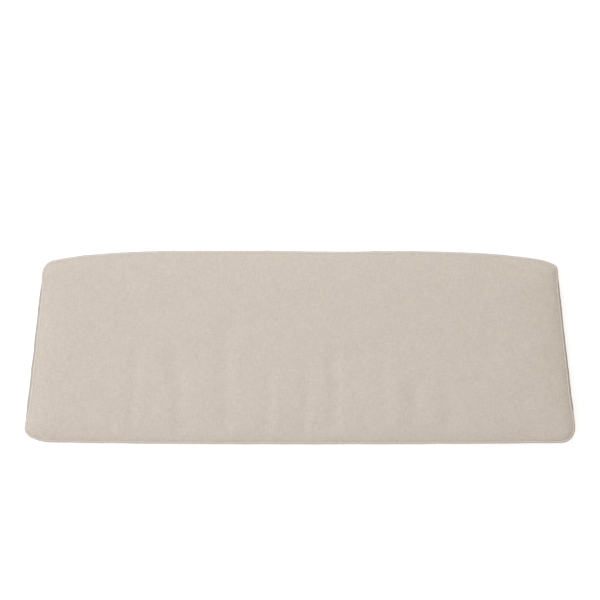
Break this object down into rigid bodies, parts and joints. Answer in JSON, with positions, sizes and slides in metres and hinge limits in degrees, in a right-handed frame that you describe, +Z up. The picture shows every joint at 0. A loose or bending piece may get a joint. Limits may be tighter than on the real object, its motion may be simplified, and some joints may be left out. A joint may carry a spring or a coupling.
{
  "type": "bench cushion",
  "caption": "Long box-edged seat cushion in plain woven fabric, shaped to a tapering bench seat, with self-fabric piping round its upper seam.",
  "frame": {"origin": "on the surface the cushion lies on, under the middle of its bounding box", "axes": "+X to the right along the front edge, the longest side; +Y from the front edge to the shorter back edge; +Z up out of the crowned, piped face"},
  "size_m": [1.2001, 0.4214, 0.0459],
  "materials": {
    "cover": "matt plain weave in warm beige, fine slubs",
    "piping": "the same cloth cut on the bias round a cord"
  },
  "bodies": {
    "root": {"cushion": "cover", "piping": "piping"}
  },
  "joints": []
}
